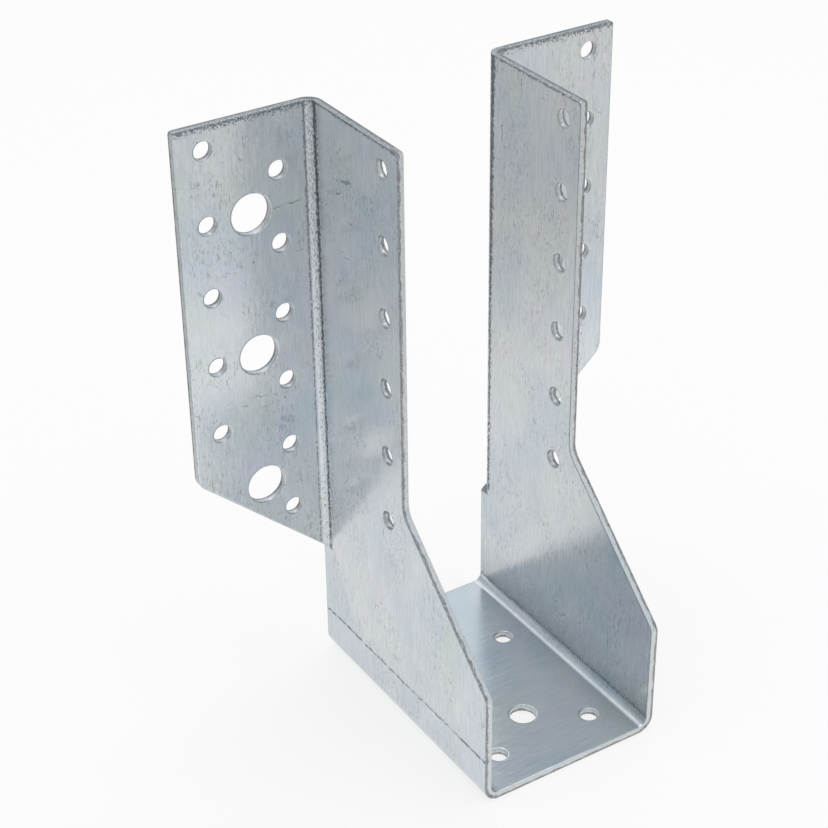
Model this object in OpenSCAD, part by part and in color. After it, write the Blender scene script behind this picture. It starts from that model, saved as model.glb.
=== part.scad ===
// Face-fixed joist hanger folded from one galvanised steel sheet.
// X runs across the joist, +Y points at the header the wings nail to, Z is up.
// The origin is the middle of the footprint, on the underside of the seat.

/* [Sheet] */

// Thickness of the sheet, mm
sheet_t = 2; // [1.6:0.1:2.4]

/* [Seat] */

// Clear width between the side plates, for the joist, mm
seat_w = 51; // [45:1:64]
// Depth of the seat from its front edge to the back of the wings, mm
seat_depth = 80; // [76:1:90]
// Inside radius of the fold between seat and side plate, mm
seat_bend_r = 2.5; // [1.5:0.1:3.5]

/* [Side plates] */

// Height from the underside of the seat to the top edge, mm
height = 170; // [166:1:185]
// Depth of the narrow upper part of a side plate, mm
upper_depth = 41.5; // [38:0.5:46]
// Height where the narrow upper part starts to widen, mm
knee_z = 69.5; // [62:0.5:76]
// Height of the upright front edge at the seat, mm
toe_z = 34; // [28:0.5:40]
// Radius in the hollow of the upper knee, mm
knee_r = 6; // [3:0.5:10]
// Radius on the toe corner, mm
toe_r = 3; // [1:0.5:6]

/* [Wings] */

// Width of a wing beyond the side plate's outer face, mm
wing_w = 38; // [37:0.5:44]
// Height of the wing's lower corner at its outer edge, mm
wing_corner_z = 70; // [64:0.5:74]
// Height where the sloping lower edge reaches the side plate, mm
wing_root_z = 36; // [28:0.5:38]
// Inside radius of the fold between side plate and wing, mm
wing_bend_r = 2; // [1.5:0.1:3]
// Radius on the wing's lower outer corner, mm
wing_corner_r = 5; // [2:0.5:6]
// Radius on the sheared top corners, mm
top_corner_r = 1; // [0.5:0.25:2]

/* [Nail holes] */

// Diameter of a nail hole, mm
nail_d = 5; // [4:0.1:5.5]
// Step between nail holes in a column, mm
nail_pitch = 20; // [19:0.25:20.5]
// Distance of the top nail hole below the top edge, mm
nail_top = 6.5; // [5:0.25:8]
// Nail holes in a wing's outer column
outer_count = 5; // [3:1:5]
// Nail holes in a wing's inner column, half a step lower
inner_count = 6; // [3:1:6]
// Nail holes in a side plate's column
joist_count = 6; // [3:1:6]
// Distance of the wing's outer column from its outer edge, mm
wing_edge = 8; // [6.5:0.5:9]
// Distance between the wing's two nail columns, mm
column_gap = 20; // [18:0.5:21]
// Distance of the side plate's column from its front edge, mm
plate_edge = 7; // [5.5:0.5:10]

/* [Bolt holes] */

// Diameter of a bolt hole in a wing, mm
bolt_d = 11; // [9:0.5:11.5]
// Distance of the bolt holes inward from the outer nail column, mm
bolt_gap = 12; // [11:0.25:12.5]
// Bolt holes in a wing
bolt_count = 3; // [1:1:3]

/* [Seat holes] */

// Diameter of a nail hole in the seat, mm
seat_nail_d = 5; // [4:0.1:6]
// Distance between the seat's nail holes across the joist, mm
seat_nail_dx = 30; // [26:0.5:32]
// Distance between the seat's nail holes along the joist, mm
seat_nail_dy = 41; // [36:0.5:46]
// Distance of the front nail holes from the seat's front edge, mm
seat_nail_front = 12; // [9:0.5:15]
// Diameter of the hole on the seat's centre line, mm
seat_bolt_d = 7.5; // [6:0.5:9]
// Distance of the centre hole from the seat's front edge, mm
seat_bolt_front = 22; // [18:0.5:30]

/* [Hidden] */

$fn = 64;
// cutters run this far past the sheet on each side
over = 1;
// an arc runs this far past its edges, so that it crosses them
ease = 0.002;
// distance from the middle of the seat to a plate's inner and outer face
plate_in = seat_w / 2;
plate_out = plate_in + sheet_t;
// outer edge of a wing
wing_out = plate_out + wing_w;
// the seat's front edge and the plane of the header
front_y = -seat_depth / 2;
back_y = seat_depth / 2;
// front edge of the upper part of a side plate
upper_y = back_y - upper_depth;
// outside radii of the two folds
seat_bend_out = seat_bend_r + sheet_t;
wing_bend_out = wing_bend_r + sheet_t;
// where the wing fold starts on the side plate and ends on the wing
fold_y = back_y - wing_bend_out;
fold_x = plate_out + wing_bend_r;
// slope of the wing's lower edge, height gained for each mm outward
wing_slope = (wing_corner_z - wing_root_z) / wing_w;
// directions of the sloping edges, degrees
toe_dir = atan2(knee_z - toe_z, upper_y - front_y);
wing_dir = 180 + atan(wing_slope);
// top nail hole, and the columns of holes in a wing
nail_z = height - nail_top;
outer_x = wing_out - wing_edge;
inner_x = outer_x - column_gap;
bolt_x = outer_x - bolt_gap;
// column of nail holes in a side plate
joist_y = upper_y + plate_edge;
// rows of the holes in the seat
seat_nail_y = front_y + seat_nail_front;
seat_bolt_y = front_y + seat_bolt_front;

// height of the wing's lower edge at a distance across the joist
function wing_low(x) = wing_root_z + (x - plate_out) * wing_slope;

// what lies between a corner at v and an arc of radius r across it, with
// the two edges leaving v in directions a and b; it runs past both edges
module corner(v, a, b, r) {
    half = abs(b - a) / 2;
    mid = (a + b) / 2;
    toward = [cos(mid), sin(mid)];
    c = v + (r - ease) / sin(half) * toward;
    difference() {
        polygon([
            c,
            c + (r + over) * [cos(a - 90), sin(a - 90)],
            c - (r + over) / sin(half) * toward,
            c + (r + over) * [cos(b + 90), sin(b + 90)]
        ]);
        translate(c) circle(r = r);
    }
}

// outline of a side plate seen along X, above the seat fold and in front
// of the wing fold
module plate_outline() {
    difference() {
        union() {
            polygon([
                [front_y, seat_bend_out],
                [fold_y, seat_bend_out],
                [fold_y, height],
                [upper_y, height],
                [upper_y, knee_z],
                [front_y, toe_z]
            ]);
            corner([upper_y, knee_z], 90, 180 + toe_dir, knee_r);
        }
        corner([front_y, toe_z], -90, toe_dir, toe_r);
        corner([upper_y, height], -90, 0, top_corner_r);
    }
}

// quarter turn from the seat up into the side plate
module seat_fold() {
    translate([plate_out - seat_bend_out, back_y, seat_bend_out])
        rotate([90, 0, 0])
            rotate([0, 0, -90])
                rotate_extrude(angle = 90)
                    translate([seat_bend_r, 0])
                        square([sheet_t, seat_depth]);
}

// the sheet's outline seen along Y on one side of the sloping cut under a
// wing, from the cut up or down to height z
module beside_cut(z) {
    translate([0, back_y + over, 0])
        rotate([90, 0, 0])
            linear_extrude(height = wing_bend_out + 2 * over)
                polygon([
                    [plate_in - over, wing_low(plate_in - over)],
                    [wing_out + over, wing_low(wing_out + over)],
                    [wing_out + over, z],
                    [plate_in - over, z]
                ]);
}

// the wing and its quarter turn from the side plate, both ended below by
// one sloping cut
module wing() {
    low = wing_low(plate_in) - over;
    difference() {
        union() {
            translate([fold_x, fold_y, low])
                rotate([0, 0, 90])
                    rotate_extrude(angle = 90)
                        translate([wing_bend_r, 0])
                            square([sheet_t, height - low]);
            translate([fold_x, back_y - sheet_t, low])
                cube([wing_out - fold_x, sheet_t, height - low]);
        }
        beside_cut(low - over);
        translate([0, back_y + over, 0])
            rotate([90, 0, 0])
                linear_extrude(height = sheet_t + 2 * over) {
                    corner([wing_out, wing_corner_z], 90, wing_dir, wing_corner_r);
                    corner([wing_out, height], -180, -90, top_corner_r);
                }
    }
}

// the side plate's upright back edge below the wing, flush with the header
module back_edge() {
    difference() {
        translate([plate_in, fold_y, seat_bend_out])
            cube([sheet_t, wing_bend_out, wing_root_z + over - seat_bend_out]);
        beside_cut(wing_corner_z + 2 * over);
    }
}

// hole through a wing, seen along Y
module wing_hole(x, z, d) {
    translate([x, back_y + over, z])
        rotate([90, 0, 0])
            cylinder(h = sheet_t + 2 * over, d = d);
}

// half of the folded sheet, on the +X side, with its holes
module half() {
    difference() {
        union() {
            translate([0, front_y, 0])
                cube([plate_out - seat_bend_out, seat_depth, sheet_t]);
            seat_fold();
            translate([plate_in, 0, 0])
                rotate([90, 0, 90])
                    linear_extrude(height = sheet_t)
                        plate_outline();
            back_edge();
            wing();
        }
        // nail holes of the wing, in two staggered columns
        for (i = [0 : outer_count - 1])
            wing_hole(outer_x, nail_z - i * nail_pitch, nail_d);
        for (i = [0 : inner_count - 1])
            wing_hole(inner_x, nail_z - (i + 0.5) * nail_pitch, nail_d);
        // bolt holes, beside every second hole of the outer column
        for (i = [0 : bolt_count - 1])
            wing_hole(bolt_x, nail_z - (2 * i + 1) * nail_pitch, bolt_d);
        // nail holes through the side plate into the joist
        for (i = [0 : joist_count - 1])
            translate([plate_in - over, joist_y, nail_z - i * nail_pitch])
                rotate([0, 90, 0])
                    cylinder(h = sheet_t + 2 * over, d = nail_d);
        // nail holes through the seat into the joist
        for (dy = [0, seat_nail_dy])
            translate([seat_nail_dx / 2, seat_nail_y + dy, -over])
                cylinder(h = sheet_t + 2 * over, d = seat_nail_d);
    }
}

// the whole hanger, one folded piece
module hanger() {
    color("#9aa4aa")
    difference() {
        union() {
            half();
            mirror([1, 0, 0]) half();
        }
        translate([0, seat_bolt_y, -over])
            cylinder(h = sheet_t + 2 * over, d = seat_bolt_d);
    }
}

hanger();
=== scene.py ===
"""Joist hanger folded from one galvanised sheet, dressed over its solid."""

import math

import bpy
from bpy.props import FloatProperty, FloatVectorProperty, PointerProperty
from mathutils import Matrix, Vector


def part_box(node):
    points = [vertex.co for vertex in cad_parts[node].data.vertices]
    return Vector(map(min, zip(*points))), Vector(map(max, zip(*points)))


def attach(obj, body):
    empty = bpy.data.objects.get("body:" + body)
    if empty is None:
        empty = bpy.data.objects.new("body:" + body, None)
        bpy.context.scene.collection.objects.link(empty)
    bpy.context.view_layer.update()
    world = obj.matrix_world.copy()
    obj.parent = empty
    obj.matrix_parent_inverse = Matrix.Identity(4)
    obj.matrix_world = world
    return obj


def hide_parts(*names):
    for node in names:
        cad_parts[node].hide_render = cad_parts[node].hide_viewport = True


bl_info = {
    "name": "Joist hanger",
    "version": (1, 0, 0),
    "blender": (4, 5, 0),
    "location": "View3D > Sidebar > Hanger",
    "description": "Models and finishes a joist hanger folded from sheet",
    "category": "Object",
}

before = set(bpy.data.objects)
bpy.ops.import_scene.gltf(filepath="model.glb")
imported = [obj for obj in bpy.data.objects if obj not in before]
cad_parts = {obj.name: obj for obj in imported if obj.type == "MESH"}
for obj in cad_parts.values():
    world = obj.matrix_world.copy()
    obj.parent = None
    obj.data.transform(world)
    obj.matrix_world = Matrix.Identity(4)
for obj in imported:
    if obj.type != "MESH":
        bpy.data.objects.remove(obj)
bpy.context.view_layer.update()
SOLID = "hanger"
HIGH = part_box(SOLID)[1]
MM = 0.001

# Points of the solid that lie closer than this are one point.
MERGE = 0.002 * MM
# A line is cut this far beside each fold, so that the flats are shaded flat.
BESIDE = 0.6 * MM
# A face with a squareness above SKIN is the sheet's skin, and below it a cut.
# FLAT_SKIN is the stricter limit for the faces that get the worked strip, and
# ROLLED is where the zinc ends on a rounded edge.
SKIN = 0.7
FLAT_SKIN = 0.97
ROLLED = 0.6

# Marks from stacking and transport, in mm on the flat blank: place across,
# along and through the sheet, turn in degrees, length, width and depth of tone.
# A separate measuring script gave the places, turns and lengths, and the
# widths and tones were set by eye.
MARKS = (
    (23.6, 190.7, 2, -75, 3.4, 0.35, 1.0),
    (23.2, 188.6, 2, -147, 2.0, 0.3, 0.7),
    (14.1, 189.6, 2, -169, 2.2, 0.3, 0.7),
    (9.6, 190.5, 2, -150, 2.2, 0.3, 0.7),
    (31.8, 174.2, 2, -91, 7.3, 0.4, 1.0),
    (30.7, 170.5, 2, -177, 2.0, 0.4, 0.9),
    (33.5, 166.3, 2, -160, 1.8, 0.4, 0.8),
    (30.4, 162.9, 2, -88, 6.4, 0.35, 0.5),
    (24.3, 167.7, 2, -92, 10.2, 0.3, 0.4),
    (35.1, 190.7, 2, -109, 1.9, 0.4, 0.7),
    (8.1, 170.3, 2, -166, 3.2, 0.3, 0.6),
    (1.9, 179.6, 2, -135, 11.6, 0.25, 0.3),
    (0.1, 37.7, 2, 144, 9.2, 1.6, 0.35),
    (0.8, 32.6, 2, -125, 3.6, 1.0, 0.35),
    (70.9, 184.8, 0, -91, 16.9, 0.3, 0.6),
    (70.6, 172.5, 0, -81, 4.4, 0.35, 0.6),
    (72.5, 168.9, 0, -43, 4.3, 0.4, 0.6),
    (61.9, -113.6, 0, 147, 2.3, 0.3, 0.7),
    (56.8, -115.2, 0, 176, 6.7, 0.3, 0.7),
    (52.6, -114.1, 0, 133, 2.4, 0.3, 0.7),
    (55.7, -111.8, 0, -180, 5.3, 0.3, 0.6),
    (61.2, -108.6, 0, -165, 3.1, 0.3, 0.6),
    (72.2, -149.6, 0, 125, 2.6, 1.2, 0.4),
    (49.3, -167.4, 0, -165, 3.4, 0.35, 0.9),
    (44.8, -167.9, 0, -180, 5.7, 0.35, 0.9),
    (39.5, -168.2, 0, -178, 5.0, 0.35, 0.6),
    (43.6, -153.8, 0, 172, 3.3, 0.3, 0.5),
    (72.2, -178.2, 0, -165, 2.1, 0.4, 0.5),
    (49.2, -105.6, 0, 161, 5.4, 2.6, 0.25),
    (56.7, -154.5, 0, 87, 1.7, 0.4, 0.7),
    (51.8, -140.2, 0, 114, 4.4, 0.25, 0.4),
    (26.1, -173.1, 0, -158, 5.9, 0.35, 0.8),
    (21.9, -177.5, 0, -168, 7.4, 0.9, 0.7),
    (20.3, -167.1, 0, -176, 4.6, 0.4, 0.8),
    (23.2, -171.8, 0, 99, 4.2, 0.3, 0.6),
    (23.1, -157.0, 0, 165, 4.7, 0.5, 0.5),
    (13.2, -153.9, 0, 119, 1.9, 0.3, 0.6),
    (18.9, -45.5, 0, -177, 3.0, 0.4, 0.5),
    (10.7, -38.6, 0, -172, 5.4, 0.7, 0.7),
    (-14.8, -49.4, 0, 93, 3.0, 0.35, 0.4),
)


def linear(code):
    """An sRGB hex colour as the linear colour that shaders take."""
    parts = [int(code[i : i + 2], 16) / 255 for i in (1, 3, 5)]
    return tuple(
        c / 12.92 if c <= 0.04045 else ((c + 0.055) / 1.055) ** 2.4 for c in parts
    )


def length(name, description, default):
    """A length that a user can change, in metres."""
    return FloatProperty(
        name=name,
        description=description,
        default=default,
        min=0.0,
        unit="LENGTH",
        precision=5,
    )


def colour(name, description, code):
    """A colour that a user can change."""
    return FloatVectorProperty(
        name=name,
        description=description,
        default=linear(code),
        size=3,
        min=0.0,
        max=1.0,
        subtype="COLOR",
    )


class SheetSizes(bpy.types.PropertyGroup):
    """Sizes of the folded sheet that the dressing works from."""

    thickness: length("Sheet thickness", "Thickness of the steel sheet", 2 * MM)
    seat_fold: length("Seat fold", "Inside radius of the fold at the seat", 2.5 * MM)
    wing_fold: length("Wing fold", "Inside radius of the fold at the wing", 2 * MM)
    wing_width: length("Wing width", "Wing beyond the side plate", 38 * MM)
    wing_corner: length("Wing corner", "Height of the wing's lower corner", 70 * MM)
    wing_root: length(
        "Wing root", "Height where the lower edge meets the plate", 36 * MM
    )
    rollover: length("Rollover", "Round of a sheared edge", 0.13 * MM)
    rim: length("Rim", "Width of the strip worked by the shear", 0.5 * MM)
    die_mark: length("Die mark", "Height of the press mark on a side plate", 13.8 * MM)


class FinishColours(bpy.types.PropertyGroup):
    """Colours of the galvanised sheet and of its cut edges."""

    zinc: colour("Zinc", "Clean zinc coat", "#D6DADC")
    zinc_cool: colour("Cool zinc", "Bluer patches of the coat", "#C7D1D8")
    zinc_lilac: colour("Lilac zinc", "Faint lilac bloom on the coat", "#D2D3DD")
    zinc_green: colour("Green zinc", "Faint green bloom on the coat", "#CDD6D2")
    # This colour also paints the shade in the seat folds and along the rolled edges.
    scuff_and_shade: colour("Scuff", "Dark scuffs and transport marks", "#50575D")
    burnish: colour("Burnished cut", "Bright part of a sheared edge", "#CFD2D3")
    fracture: colour("Fractured cut", "Rough part of a sheared edge", "#B2B5B7")
    # Painted highlight: the bright line painted where a seat fold starts, on its
    # inside.
    fold_highlight: colour("Polished line", "Bright line where a fold starts", "#F9FAFC")
    floor: colour("Floor", "Pale floor", "#F3F3F3")
    room: colour("Room", "Cool light of the room that metal mirrors", "#F4FAFF")


def add(tree, kind, inputs, out=0, **settings):
    """Adds a node, sets it up, links or fills its inputs; returns an output."""
    node = tree.nodes.new("ShaderNode" + kind)
    for key, value in settings.items():
        setattr(node, key, value)
    pairs = inputs.items() if isinstance(inputs, dict) else enumerate(inputs)
    for key, value in pairs:
        if isinstance(value, bpy.types.NodeSocket):
            tree.links.new(value, node.inputs[key])
        else:
            node.inputs[key].default_value = value
    return node.outputs[out] if node.outputs else node


def rgba(values):
    """A property's colour with full alpha."""
    return (*values, 1.0)


def only(obj):
    """Makes obj the one selected and active object."""
    bpy.ops.object.select_all(action="DESELECT")
    obj.select_set(True)
    bpy.context.view_layer.objects.active = obj


def wing_low(x, sizes):
    """Height of a wing's sloping lower edge at a distance across."""
    plate = HIGH.x - sizes.wing_width
    slope = (sizes.wing_corner - sizes.wing_root) / sizes.wing_width
    return sizes.wing_root + (x - plate) * slope


def seat_arc(sizes):
    """Length of the seat fold along the middle of the sheet."""
    return (sizes.seat_fold + sizes.thickness / 2) * math.pi / 2


def wing_arc(sizes):
    """Length of the wing fold along the middle of the sheet."""
    return (sizes.wing_fold + sizes.thickness / 2) * math.pi / 2


def wing_fold_span(sizes):
    """Where the wing fold starts and ends across the blank, in mm."""
    start = (HIGH.y - sizes.wing_fold - sizes.thickness) / MM
    return start, start + wing_arc(sizes) / MM


def plate_end(sizes):
    """How far back a side plate is flat, with the line beside its fold."""
    return HIGH.y - sizes.wing_fold - sizes.thickness - BESIDE


def along_at(height, sizes):
    """How far along the blank, from its middle, a height on a plate lies."""
    plate = HIGH.x - sizes.wing_width
    radius = sizes.seat_fold + sizes.thickness
    return plate - radius + seat_arc(sizes) + height - radius


def developed(p, sizes):
    """Where a point lies on the flat blank: across it, along it, through it."""
    t = sizes.thickness
    plate = HIGH.x - sizes.wing_width
    seat_r = sizes.seat_fold + t
    wing_r = sizes.wing_fold + t
    side = -1.0 if p.x < 0 else 1.0
    x = abs(p.x)
    flat = plate - seat_r
    if p.z < seat_r:
        if x <= flat:
            return Vector((p.y, side * x, p.z))
        turn = math.atan2(x - flat, seat_r - p.z) / (math.pi / 2)
        reach = math.hypot(x - flat, seat_r - p.z)
        return Vector((p.y, side * (flat + seat_arc(sizes) * turn), seat_r - reach))
    along = side * along_at(p.z, sizes)
    start = HIGH.y - wing_r
    out = plate + sizes.wing_fold
    reach = math.hypot(p.y - start, out - x)
    on_plate = p.y <= start or p.z < wing_low(x, sizes) - 0.001 * MM
    if on_plate or (x < out and reach > wing_r + 0.01 * MM):
        return Vector((p.y, along, plate - x))
    if x < out:
        turn = math.atan2(p.y - start, out - x) / (math.pi / 2)
        return Vector((start + wing_arc(sizes) * turn, along, reach - wing_r + t))
    return Vector((start + wing_arc(sizes) + x - out, along, p.y - (HIGH.y - t)))


def squareness(polygon, sizes):
    """1 on the sheet's skins, 0 on its cut faces, between on rounded edges."""
    shallow, deep = 0.01 * MM, 0.03 * MM
    near = developed(polygon.center - shallow * polygon.normal, sizes).z
    far = developed(polygon.center - deep * polygon.normal, sizes).z
    return abs(far - near) / (deep - shallow)


def grain(tree, place, size, shift=0.0, detail=2.0, rough=0.5):
    """Noise on the blank, its lumps as many mm across, along and through."""
    mapped = add(
        tree,
        "Mapping",
        {
            "Vector": place,
            "Location": (shift, shift * 1.7, shift * 2.3),
            "Scale": [1 / s for s in size],
        },
    )
    return add(
        tree,
        "TexNoise",
        {"Vector": mapped, "Scale": 1.0, "Detail": detail, "Roughness": rough},
    )


def blank_place(tree):
    """The place on the flat blank, in mm."""
    stored = add(tree, "Attribute", {}, out="Vector", attribute_name="blank")
    return add(tree, "VectorMath", {0: stored, "Scale": 1000.0}, operation="SCALE")


def new_material(name):
    """An empty node material and its tree."""
    material = bpy.data.materials.new(name)
    material.use_nodes = True
    material.node_tree.nodes.clear()
    return material, material.node_tree


def darkest(tree, masks):
    """The strongest of several masks."""
    result = masks[0]
    for mask in masks[1:]:
        result = add(tree, "Math", (result, mask), operation="MAXIMUM")
    return result


def transport_marks(tree, place):
    """Scratches and rubs at their own places, broken up along their length."""
    wander = add(
        tree,
        "TexNoise",
        {"Vector": place, "Scale": 0.55, "Detail": 2.0},
        out="Color",
    )
    centred = add(tree, "VectorMath", (wander, (0.5, 0.5, 0.5)), operation="SUBTRACT")
    bent = add(
        tree,
        "VectorMath",
        (centred, (2.4, 2.4, 0.0), place),
        operation="MULTIPLY_ADD",
    )
    marks = 0.0
    for across, along, through, turn, long, wide, tone in MARKS:
        local = add(
            tree,
            "Mapping",
            {
                "Vector": bent,
                "Location": (across, along, through),
                "Rotation": (0, 0, math.radians(turn)),
                "Scale": (long / 2, wide / 2, 0.8),
            },
            vector_type="TEXTURE",
        )
        reach = add(tree, "VectorMath", (local,), out="Value", operation="LENGTH")
        mark = add(tree, "MapRange", (reach, 0.55, 1.05, tone, 0.0))
        marks = add(tree, "Math", (marks, mark), operation="MAXIMUM")
    broken = grain(tree, place, (0.5, 0.5, 1), 23.0, 3, 0.6)
    kept = add(tree, "MapRange", (broken, 0.4, 0.56, 0.25, 1.0))
    return add(tree, "Math", (marks, kept), operation="MULTIPLY")


def zinc_clouds(tree, place, tones):
    """The zinc coat's tone, which drifts a little over a few centimetres."""
    tone = rgba(tones.zinc)
    for size, shift, low, high, most, patch in (
        ((26, 34, 0.5), 3.1, 0.42, 0.62, 0.9, tones.zinc_cool),
        ((15, 20, 0.5), 11.7, 0.5, 0.68, 0.7, tones.zinc_lilac),
        ((13, 22, 0.5), 27.3, 0.54, 0.7, 0.7, tones.zinc_green),
    ):
        cloud = grain(tree, place, size, shift, 3, 0.55)
        share = add(tree, "MapRange", (cloud, low, high, 0.0, most))
        tone = add(
            tree, "Mix", {0: share, 6: tone, 7: rgba(patch)}, out=2, data_type="RGBA"
        )
    return tone


def small_wear(tree, place, on_seat):
    """Small dark dashes, curled scratches and specks, in loose groups."""
    patches = grain(tree, place, (11, 15, 0.5), 19.0, 2, 0.5)
    here = add(tree, "MapRange", (patches, 0.44, 0.6, 0.15, 1.0))
    dash = grain(tree, place, (0.42, 1.9, 0.5), 41.0, 3, 0.6)
    dashes = add(tree, "MapRange", (dash, 0.56, 0.68, 0.0, 0.45))
    curl = grain(tree, place, (2.4, 3.4, 0.5), 52.0, 2, 0.5)
    curl = add(tree, "Math", (curl, 0.5), operation="SUBTRACT")
    curl = add(tree, "Math", (curl,), operation="ABSOLUTE")
    curls = add(tree, "MapRange", (curl, 0.004, 0.018, 0.45, 0.0))
    cut_up = grain(tree, place, (1.6, 2.0, 0.5), 63.0, 2, 0.5)
    kept = add(tree, "MapRange", (cut_up, 0.56, 0.62))
    curls = add(tree, "Math", (curls, kept), operation="MULTIPLY")
    speck = grain(tree, place, (0.5, 0.6, 0.5), 77.0, 1, 0.5)
    specks = add(tree, "MapRange", (speck, 0.74, 0.8, 0.0, 0.8))
    small = darkest(tree, (dashes, curls, specks))
    small = add(tree, "Math", (small, here), operation="MULTIPLY")
    less = add(tree, "MapRange", (on_seat, 0.0, 1.0, 1.0, 0.12))
    return add(tree, "Math", (small, less), operation="MULTIPLY")


def cut_grime_and_edge_shade(tree, place, across, height, rim, sizes):
    """Masks for the grime at the top cut and at every cut, and for painted shade along
    the rolled edges.
    """
    # A ragged band lies below the top cut, wider on the wings.
    ragged = grain(tree, place, (0.55, 0.5, 0.5), 61.0, 3, 0.65)
    top = along_at(HIGH.z, sizes) / MM
    from_top = add(tree, "Math", (top, height), operation="SUBTRACT")
    width = add(tree, "MapRange", (across, *wing_fold_span(sizes), 1.2, 2.5))
    depth = add(tree, "Math", (from_top, width), operation="DIVIDE")
    level = add(tree, "MapRange", (depth, 0.0, 1.2, 0.34, 0.7), clamp=False)
    over = add(tree, "Math", (ragged, level), operation="SUBTRACT")
    band = add(tree, "MapRange", (over, 0.0, 0.08, 0.0, 0.75))

    # A little of it lies along every other cut, denser towards the edge. The dark line
    # at the very edge is painted shade on the rolled edge.
    level = add(tree, "MapRange", (rim, 0.0, 1.0, 0.7, 0.42))
    over = add(tree, "Math", (ragged, level), operation="SUBTRACT")
    edge = add(tree, "MapRange", (over, 0.0, 0.08, 0.0, 0.55))
    painted_edge_shade = add(tree, "MapRange", (rim, 0.6, 0.95, 0.0, 0.5))
    return [band, edge, painted_edge_shade]


def wing_fold_rubs(tree, rubbed, across, height, sizes):
    """Masks for the speckled lines that the press rubs beside the wing fold."""
    fold_from, fold_to = wing_fold_span(sizes)
    top = along_at(HIGH.z, sizes) / MM
    root = along_at(sizes.wing_root, sizes) / MM
    on_fold = add(tree, "MapRange", (height, root - 0.5, root + 0.5))
    upper = add(tree, "MapRange", (height, top - 90, top, 0.0, 0.1))
    rubs = []
    for centre, reach, near, most in (
        (fold_from + 0.4, 1.6, 0.36, 0.85),
        (fold_to, 0.7, 0.4, 0.6),
        ((fold_from + fold_to) / 2, 2.6, 0.5, 0.5),
    ):
        off = add(tree, "Math", (across, centre), operation="SUBTRACT")
        off = add(tree, "Math", (off,), operation="ABSOLUTE")
        level = add(tree, "MapRange", (off, 0.0, reach, near, 0.7), clamp=False)
        over = add(tree, "Math", (rubbed, level), operation="SUBTRACT")
        over = add(tree, "Math", (over, upper), operation="ADD")
        rub = add(tree, "MapRange", (over, 0.0, 0.08, 0.0, most))
        rubs.append(add(tree, "Math", (rub, on_fold), operation="MULTIPLY"))
    return rubs


def die_strip_and_corner_shade(tree, rubbed, height, sizes):
    """A dark, speckled strip that the die leaves on the plate at its fold, and painted
    shade on the plate that fades out over 14 mm above the fold.
    """
    fold_end = along_at(sizes.seat_fold + sizes.thickness, sizes) / MM
    below = add(tree, "MapRange", (height, fold_end - 1.2, fold_end, 0.66, 0.36))
    level = add(tree, "MapRange", (height, fold_end, fold_end + 3.4, below, 0.7))
    over = add(tree, "Math", (rubbed, level), operation="SUBTRACT")
    strip = add(tree, "MapRange", (over, 0.0, 0.16, 0.0, 0.7))
    # Painted shade: the plate just above the inside corner of the fold is darkened,
    # fading out over 14 mm.
    painted_corner_shade = add(tree, "MapRange", (height, fold_end, fold_end + 14, 0.3, 0.0))
    on_plate = add(tree, "MapRange", (height, fold_end - 1, fold_end))
    painted_corner_shade = add(tree, "Math", (painted_corner_shade, on_plate), operation="MULTIPLY")
    return add(tree, "Math", (strip, painted_corner_shade), operation="MAXIMUM")


def painted_fold_highlight(tree, height, sizes):
    """A painted highlight: a thin bright line where a fold starts."""
    start = (HIGH.x - sizes.wing_width - sizes.seat_fold - sizes.thickness) / MM
    off = add(tree, "Math", (height, start + 0.5), operation="SUBTRACT")
    off = add(tree, "Math", (off,), operation="ABSOLUTE")
    return add(tree, "MapRange", (off, 0.1, 0.3, 0.75, 0.0))


def press_line(tree, place, height, sizes):
    """The scuffed line that the press leaves a little above the seat fold."""
    drift = grain(tree, place, (6.0, 400, 1), 14.0, 3, 0.6)
    drift = add(tree, "MapRange", (drift, 0.3, 0.7, -0.3, 0.3))
    mark_at = along_at(sizes.die_mark, sizes) / MM
    off = add(tree, "Math", (height, mark_at), operation="SUBTRACT")
    off = add(tree, "Math", (off, drift), operation="ADD")
    off = add(tree, "Math", (off,), operation="ABSOLUTE")
    line = add(tree, "MapRange", (off, 0.12, 0.55, 1.0, 0.0))
    smear = grain(tree, place, (1.6, 0.6, 0.5), 91.0, 3, 0.65)
    worn = add(tree, "MapRange", (smear, 0.42, 0.54, 0.1, 1.0))
    return add(tree, "Math", (line, worn), operation="MULTIPLY")


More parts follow.
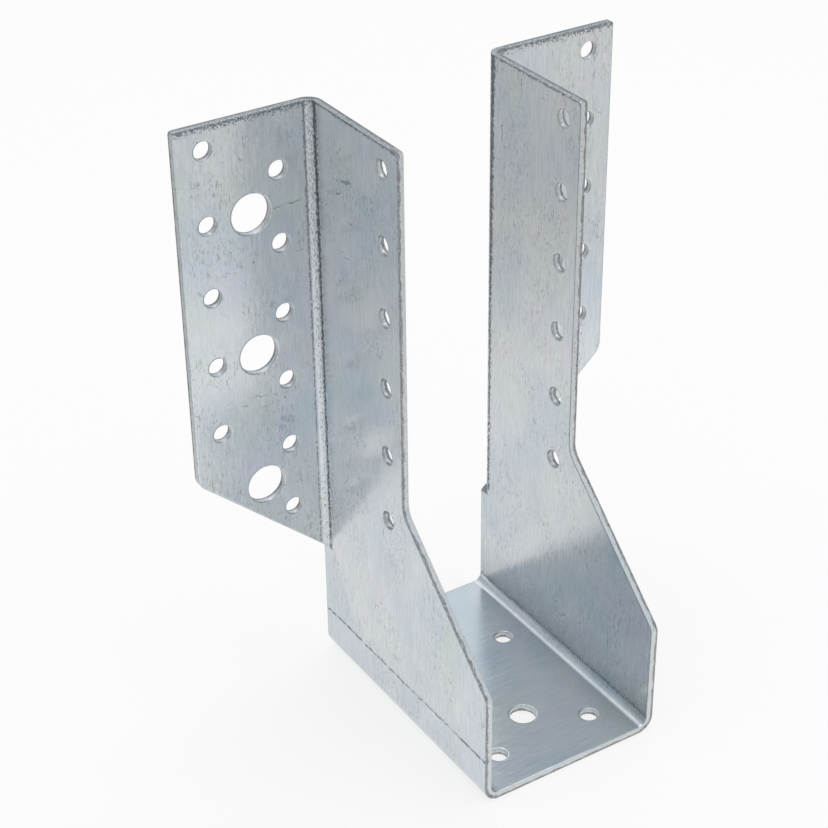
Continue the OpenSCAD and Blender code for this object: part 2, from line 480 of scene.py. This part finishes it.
def galvanised_sheet(sizes, tones):
    """Continuously galvanised, skin-passed sheet: satin, with a faint grain."""
    material, tree = new_material("galvanised_steel_skin_passed")
    place = blank_place(tree)
    across = add(tree, "SeparateXYZ", (place,), out="X")
    along = add(tree, "SeparateXYZ", (place,), out="Y")
    through = add(tree, "SeparateXYZ", (place,), out="Z")
    height = add(tree, "Math", (along,), operation="ABSOLUTE")
    inner = add(tree, "Math", (through, 1.0), operation="GREATER_THAN")
    outer = add(tree, "Math", (through, 1.0), operation="LESS_THAN")
    rim = add(tree, "Attribute", {}, out="Fac", attribute_name="rim")
    on_seat = add(tree, "MapRange", (height, 22.0, 27.0, 1.0, 0.0))

    # Rolling leaves fine dashes along the blank, fainter on the seat. They
    # are drawn about three times as wide as the real roll grain, to show.
    fine = grain(tree, place, (0.34, 2.4, 0.5), 5.9, 3, 0.6)
    coarse = grain(tree, place, (0.8, 7.0, 0.5), 8.2, 2, 0.5)
    lines = add(tree, "Math", (fine, coarse), operation="ADD")
    spread = add(tree, "MapRange", (on_seat, 0.0, 1.0, 0.065, 0.012))
    darker = add(tree, "Math", (1.0, spread), operation="SUBTRACT")
    lighter = add(tree, "Math", (1.0, spread), operation="ADD")
    shade = add(tree, "MapRange", (lines, 0.8, 1.2, darker, lighter))
    # Painted light: the seat's tone is a tenth lighter than the plates'.
    painted_seat_light = add(tree, "MapRange", (on_seat, 0.0, 1.0, 1.0, 1.1))
    shade = add(tree, "Math", (shade, painted_seat_light), operation="MULTIPLY")
    tone = zinc_clouds(tree, place, tones)
    tone = add(tree, "VectorMath", {0: tone, "Scale": shade}, operation="SCALE")

    # The die leaves a dark strip inside each seat fold, and the press a line outside
    # it. On top of these, a highlight is painted where the fold starts inside, and
    # shade is painted on the plate just above the inside corner.
    line = painted_fold_highlight(tree, height, sizes)
    line = add(tree, "Math", (line, inner), operation="MULTIPLY")
    fold_highlight = rgba(tones.fold_highlight)
    tone = add(tree, "Mix", {0: line, 6: tone, 7: fold_highlight}, out=2, data_type="RGBA")
    rubbed = grain(tree, place, (0.5, 1.1, 0.5), 33.0, 3, 0.65)
    strip = die_strip_and_corner_shade(tree, rubbed, height, sizes)
    line = press_line(tree, place, height, sizes)
    # All dark marks share one colour, including the painted shade in the seat folds
    # and along the rolled edges.
    dark = darkest(
        tree,
        (
            *cut_grime_and_edge_shade(tree, place, across, height, rim, sizes),
            small_wear(tree, place, on_seat),
            transport_marks(tree, place),
            *wing_fold_rubs(tree, rubbed, across, height, sizes),
            add(tree, "Math", (strip, inner), operation="MULTIPLY"),
            add(tree, "Math", (line, outer), operation="MULTIPLY"),
        ),
    )
    scuff_and_shade = rgba(tones.scuff_and_shade)
    tone = add(tree, "Mix", {0: dark, 6: tone, 7: scuff_and_shade}, out=2, data_type="RGBA")

    # The grain and the rolled rim bend the reflections.
    rough = add(tree, "MapRange", (lines, 0.8, 1.2, 0.17, 0.25))
    more = add(tree, "Math", (dark, 0.25), operation="MULTIPLY")
    rough = add(tree, "Math", (rough, more), operation="ADD")
    calm = add(tree, "MapRange", (on_seat, 0.0, 1.0, 1.0, 0.3))
    relief = add(tree, "Math", (lines, calm), operation="MULTIPLY")
    rolled = add(tree, "Math", (rim, 1.7), operation="POWER")
    bump = add(
        tree, "Bump", {"Strength": 1.0, "Distance": 0.012 * MM, "Height": relief}
    )
    bump = add(
        tree,
        "Bump",
        {"Strength": 1.0, "Distance": 0.06 * MM, "Height": rolled, "Normal": bump},
        invert=True,
    )
    surface = add(
        tree,
        "BsdfPrincipled",
        {"Base Color": tone, "Metallic": 0.86, "Roughness": rough, "Normal": bump},
    )
    add(tree, "OutputMaterial", (surface,))
    return material


def sheared_edge(sizes, tones):
    """Sheared steel: a bright burnished strip beside a torn, rougher one."""
    material, tree = new_material("sheared_steel_edge")
    place = blank_place(tree)
    across = add(tree, "SeparateXYZ", (place,), out="X")
    along = add(tree, "SeparateXYZ", (place,), out="Y")
    through = add(tree, "SeparateXYZ", (place,), out="Z")

    # The wings and the left plate's holes are punched from the other side:
    # all that lies farther across than 2 mm on the left and 42 on the right.
    border = add(tree, "MapRange", (along, -0.01, 0.01, 2.0, 42.0))
    turned = add(tree, "Math", (across, border), operation="GREATER_THAN")
    back = add(tree, "Math", (sizes.thickness / MM, through), operation="SUBTRACT")
    through = add(tree, "Mix", {0: turned, 2: through, 3: back})
    wander = grain(tree, place, (3.0, 3.0, 8.0), 7.0, 3, 0.6)
    torn = add(tree, "MapRange", (wander, 0.3, 0.7, 0.3, 1.0))
    off = add(tree, "Math", (through, torn), operation="SUBTRACT")
    bright = add(tree, "MapRange", (off, -0.1, 0.1))
    fracture, burnish = rgba(tones.fracture), rgba(tones.burnish)
    tone = add(
        tree, "Mix", {0: bright, 6: fracture, 7: burnish}, out=2, data_type="RGBA"
    )

    # The torn part is pitted, and a dark line parts it from the bright one.
    pits = grain(tree, place, (0.45, 0.45, 0.4), 13.0, 3, 0.7)
    height = add(tree, "Math", (along,), operation="ABSOLUTE")
    top = along_at(HIGH.z, sizes) / MM
    on_top = add(tree, "MapRange", (height, top - 0.5, top - 0.25))
    deep = add(tree, "MapRange", (bright, 0.0, 1.0, 0.44, 0.56))
    lower = add(tree, "MapRange", (on_top, 0.0, 1.0, 0.0, 0.15))
    deep = add(tree, "Math", (deep, lower), operation="SUBTRACT")
    over = add(tree, "Math", (pits, deep), operation="SUBTRACT")
    pitted = add(tree, "MapRange", (over, 0.0, 0.1, 0.0, 0.65))
    off = add(tree, "Math", (off,), operation="ABSOLUTE")
    seam = add(tree, "MapRange", (off, 0.03, 0.16, 0.65, 0.0))
    dark = darkest(tree, (pitted, seam))
    scuff_and_shade = rgba(tones.scuff_and_shade)
    tone = add(tree, "Mix", {0: dark, 6: tone, 7: scuff_and_shade}, out=2, data_type="RGBA")
    rough = add(tree, "MapRange", (bright, 0.0, 1.0, 0.5, 0.34))
    bump = add(tree, "Bump", {"Strength": 1.0, "Distance": 0.03 * MM, "Height": pits})
    surface = add(
        tree,
        "BsdfPrincipled",
        {"Base Color": tone, "Metallic": 0.86, "Roughness": rough, "Normal": bump},
    )
    add(tree, "OutputMaterial", (surface,))
    return material


def join_triangles(mesh, sizes):
    """Joins the solid's loose triangles and makes its cut faces whole."""
    bpy.ops.object.mode_set(mode="EDIT")
    bpy.ops.mesh.select_mode(type="FACE")
    bpy.ops.mesh.select_all(action="SELECT")
    bpy.ops.mesh.remove_doubles(threshold=MERGE)
    bpy.ops.mesh.select_all(action="DESELECT")
    bpy.ops.object.mode_set(mode="OBJECT")
    for polygon in mesh.polygons:
        polygon.select = squareness(polygon, sizes) < SKIN
    bpy.ops.object.mode_set(mode="EDIT")
    bpy.ops.mesh.dissolve_limited(angle_limit=math.radians(0.5))
    bpy.ops.mesh.select_all(action="DESELECT")
    bpy.ops.object.mode_set(mode="OBJECT")


def strip_skins(piece, solid, sizes):
    """Gives the skins a narrow strip along their cuts, worked by the shear."""
    mesh = piece.data
    for polygon in mesh.polygons:
        polygon.select = squareness(polygon, sizes) > FLAT_SKIN
    bpy.ops.object.mode_set(mode="EDIT")
    bpy.ops.mesh.inset(thickness=sizes.rim, use_boundary=True, use_even_offset=False)
    bpy.ops.object.mode_set(mode="OBJECT")
    rim = mesh.attributes.new("rim", "FLOAT", "POINT")
    for vertex in mesh.vertices:
        rim.data[vertex.index].value = 0.0 if vertex.select else 1.0
    laid = piece.modifiers.new("laid_back", "SHRINKWRAP")
    laid.target = solid
    bpy.ops.object.modifier_apply(modifier=laid.name)


def cut_beside_folds(sizes):
    """Cuts a line beside each fold, which keeps the flats flat when shaded."""
    plate = HIGH.x - sizes.wing_width
    seat_end = plate - sizes.seat_fold - sizes.thickness - BESIDE
    wing_start = plate + sizes.wing_fold + BESIDE
    fold_top = sizes.seat_fold + sizes.thickness + BESIDE
    below_wing = sizes.wing_root - 3 * MM
    bpy.ops.object.mode_set(mode="EDIT")
    for place, normal in (
        ((seat_end, 0, 0), (1, 0, 0)),
        ((-seat_end, 0, 0), (1, 0, 0)),
        ((wing_start, 0, 0), (1, 0, 0)),
        ((-wing_start, 0, 0), (1, 0, 0)),
        ((0, plate_end(sizes), 0), (0, 1, 0)),
        ((0, 0, fold_top), (0, 0, 1)),
        ((0, 0, below_wing), (0, 0, 1)),
    ):
        bpy.ops.mesh.select_all(action="SELECT")
        bpy.ops.mesh.bisect(plane_co=place, plane_no=normal)
    bpy.ops.mesh.select_all(action="DESELECT")
    bpy.ops.object.mode_set(mode="OBJECT")


def in_notch(spot, sizes):
    """Whether a spot lies in a notch, where the wing leaves the plate."""
    return (
        spot.y > plate_end(sizes)
        and abs(spot.x) < HIGH.x - sizes.wing_width + 0.2 * MM
        and abs(spot.z - sizes.wing_root) < 2.5 * MM
    )


def roll_edges(mesh, sizes):
    """Rounds each border of a skin and a cut face, except in the notches."""
    sides = {}
    for polygon in mesh.polygons:
        skin = squareness(polygon, sizes) > SKIN
        for key in polygon.edge_keys:
            sides.setdefault(key, set()).add(skin)
    bpy.ops.object.mode_set(mode="EDIT")
    bpy.ops.mesh.select_all(action="DESELECT")
    bpy.ops.mesh.select_mode(type="EDGE")
    bpy.ops.object.mode_set(mode="OBJECT")
    for edge in mesh.edges:
        ends = [mesh.vertices[i].co for i in edge.vertices]
        spot = (ends[0] + ends[1]) / 2
        edge.select = len(sides[edge.key]) == 2 and not in_notch(spot, sizes)
    bpy.ops.object.mode_set(mode="EDIT")
    bpy.ops.mesh.bevel(
        offset=sizes.rollover,
        segments=2,
        profile=0.5,
        affect="EDGES",
        clamp_overlap=False,
        loop_slide=False,
    )
    bpy.ops.mesh.select_all(action="DESELECT")
    bpy.ops.object.mode_set(mode="OBJECT")


class HANGER_OT_sheet(bpy.types.Operator):
    """Dresses the folded sheet: rolled edges, worked rims and zinc finish"""

    bl_idname = "hanger.sheet"
    bl_label = "Folded sheet"

    def execute(self, context):
        sizes = context.scene.hanger_sizes
        tones = context.scene.hanger_colours
        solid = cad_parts[SOLID]
        mesh = solid.data.copy()
        mesh.name = "folded_sheet"
        mesh.materials.clear()
        piece = bpy.data.objects.new("folded_sheet", mesh)
        context.collection.objects.link(piece)
        only(piece)
        join_triangles(mesh, sizes)
        strip_skins(piece, solid, sizes)
        cut_beside_folds(sizes)
        roll_edges(mesh, sizes)

        # Every point keeps its place on the flat blank, for the finish.
        blank = mesh.attributes.new("blank", "FLOAT_VECTOR", "POINT")
        for vertex in mesh.vertices:
            blank.data[vertex.index].vector = developed(vertex.co, sizes)
        mesh.materials.append(galvanised_sheet(sizes, tones))
        mesh.materials.append(sheared_edge(sizes, tones))
        for polygon in mesh.polygons:
            polygon.material_index = 0 if squareness(polygon, sizes) > ROLLED else 1
        bpy.ops.object.shade_smooth_by_angle(angle=math.radians(50))
        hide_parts(SOLID)
        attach(piece, "root")
        return {"FINISHED"}


class HANGER_OT_stage(bpy.types.Operator):
    """Sets up the pale floor, the room, the soft lamp and the camera"""

    bl_idname = "hanger.stage"
    bl_label = "Stage"

    def execute(self, context):
        tones = context.scene.hanger_colours
        bpy.ops.object.select_all(action="DESELECT")
        bpy.ops.mesh.primitive_plane_add(size=6.0, location=(0, 0, 0))
        floor = context.active_object
        floor.name = "floor"
        floor.data.materials.append(self.white_floor(tones))
        context.scene.world = self.pale_room(tones)
        self.overhead_lamp()
        self.camera(context)
        context.scene.view_settings.view_transform = "Standard"
        return {"FINISHED"}

    def white_floor(self, tones):
        """Matt white board under a pool of light, white right out to the eye."""
        material, tree = new_material("matt_white_board")
        eye = add(tree, "LightPath", {}, out="Is Camera Ray")
        gloss = add(tree, "LightPath", {}, out="Is Glossy Ray")
        clear = add(tree, "LightPath", {}, out="Is Transmission Ray")
        spot = add(tree, "TexCoord", {}, out="Object")
        away = add(tree, "VectorMath", (spot,), out="Value", operation="LENGTH")
        ahead = add(tree, "SeparateXYZ", (spot,), out="Y")

        # The metal mirrors a pool of light, which fades a little way out from
        # the hanger and is dimmer behind it.
        front = add(tree, "MapRange", (away, 0.14, 0.24, 1.15, 0.78))
        back = add(tree, "MapRange", (away, 0.13, 0.27, 0.96, 0.48))
        pool = add(tree, "MapRange", (ahead, -0.06, 0.06, front, back))
        direct = add(tree, "Math", (eye, clear), operation="MAXIMUM")
        power = add(tree, "Mix", {0: direct, 2: pool, 3: 1.0})
        glow = add(tree, "Emission", {"Strength": power})

        # The rest of each share is the bare board, which keeps the shadow.
        matt = add(tree, "BsdfDiffuse", {"Color": rgba(tones.floor)})
        seen = add(tree, "Math", (direct, 0.75), operation="MULTIPLY")
        mirrored = add(tree, "Math", (gloss, 0.7), operation="MULTIPLY")
        share = add(tree, "Math", (seen, mirrored), operation="MAXIMUM")
        mixed = add(tree, "MixShader", (share, matt, glow))
        add(tree, "OutputMaterial", (mixed,))
        return material

    def pale_room(self, tones):
        """A white room for the eye, a softly shaded one for the metal."""
        world = bpy.data.worlds.new("pale_room")
        world.use_nodes = True
        tree = world.node_tree
        tree.nodes.clear()
        eye = add(tree, "LightPath", {}, out="Is Camera Ray")
        gloss = add(tree, "LightPath", {}, out="Is Glossy Ray")
        clear = add(tree, "LightPath", {}, out="Is Transmission Ray")
        way = add(tree, "TexCoord", {}, out="Generated")
        side = add(tree, "SeparateXYZ", (way,), out="X")

        # The metal mirrors a room that is brightest straight ahead and behind,
        # and darker to the left than to the right.
        flank = add(tree, "MapRange", (side, -0.2, 0.2, 0.609, 0.882))
        off = add(tree, "Math", (side,), operation="ABSOLUTE")
        room = add(tree, "MapRange", (off, 0.0, 0.45, 1.2075, flank))
        power = add(tree, "Mix", {0: gloss, 2: 0.84, 3: room})
        direct = add(tree, "Math", (eye, clear), operation="MAXIMUM")
        power = add(tree, "Mix", {0: direct, 2: power, 3: 1.0})
        white, cool = (1.0, 1.0, 1.0, 1.0), rgba(tones.room)
        tint = add(tree, "Mix", {0: gloss, 6: white, 7: cool}, out=2, data_type="RGBA")
        sky = add(tree, "Background", (tint, power))
        add(tree, "OutputWorld", (sky,))
        return world

    def overhead_lamp(self):
        """One large, square, soft lamp above the hanger, facing its seat."""
        place = Vector((0.1, 0.1, 1.2))
        bpy.ops.object.light_add(type="AREA", location=place)
        lamp = bpy.context.active_object
        lamp.name = "overhead"
        lamp.data.size = 0.9
        lamp.data.energy = 3.2
        lamp.rotation_euler = (-place).to_track_quat("-Z", "Y").to_euler()

    def camera(self, context):
        """A long lens above the left front corner of the seat."""
        camera = bpy.data.objects.new("camera", bpy.data.cameras.new("camera"))
        context.collection.objects.link(camera)
        camera.data.sensor_width = 36.0
        camera.data.lens = 88.226
        camera.data.clip_start = 0.01
        azimuth = math.radians(-32.2906)
        elevation = math.radians(31.7503)
        roll = math.radians(-0.7159)
        target = Vector((0.017829, 0.064040, 0.050342))
        distance = 0.597874
        back = Vector(
            (
                math.sin(azimuth) * math.cos(elevation),
                -math.cos(azimuth) * math.cos(elevation),
                math.sin(elevation),
            )
        )
        level = Vector((math.cos(azimuth), math.sin(azimuth), 0))
        upright = back.cross(level)
        right = math.cos(roll) * level + math.sin(roll) * upright
        up = math.cos(roll) * upright - math.sin(roll) * level
        place = target + back * distance
        rows = [(right[i], up[i], back[i], place[i]) for i in range(3)]
        camera.matrix_world = Matrix((*rows, (0, 0, 0, 1)))
        context.scene.camera = camera


class HANGER_PT_panel(bpy.types.Panel):
    """Lists the hanger's pieces, sizes and colours"""

    bl_idname = "HANGER_PT_panel"
    bl_label = "Joist hanger"
    bl_space_type = "VIEW_3D"
    bl_region_type = "UI"
    bl_category = "Hanger"

    def draw(self, context):
        layout = self.layout
        for group in (context.scene.hanger_sizes, context.scene.hanger_colours):
            column = layout.column()
            for key in group.__annotations__:
                column.prop(group, key)
        for operator in (HANGER_OT_sheet, HANGER_OT_stage):
            layout.operator(operator.bl_idname)


CLASSES = (
    SheetSizes,
    FinishColours,
    HANGER_OT_sheet,
    HANGER_OT_stage,
    HANGER_PT_panel,
)


def register():
    """Registers the classes and hangs the settings on the scene."""
    for item in CLASSES:
        bpy.utils.register_class(item)
    bpy.types.Scene.hanger_sizes = PointerProperty(type=SheetSizes)
    bpy.types.Scene.hanger_colours = PointerProperty(type=FinishColours)


def unregister():
    """Takes the settings and classes away again."""
    del bpy.types.Scene.hanger_colours
    del bpy.types.Scene.hanger_sizes
    for item in reversed(CLASSES):
        bpy.utils.unregister_class(item)


def main():
    """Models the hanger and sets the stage."""
    register()
    bpy.ops.hanger.sheet()
    bpy.ops.hanger.stage()


if __name__ == "__main__":
    main()
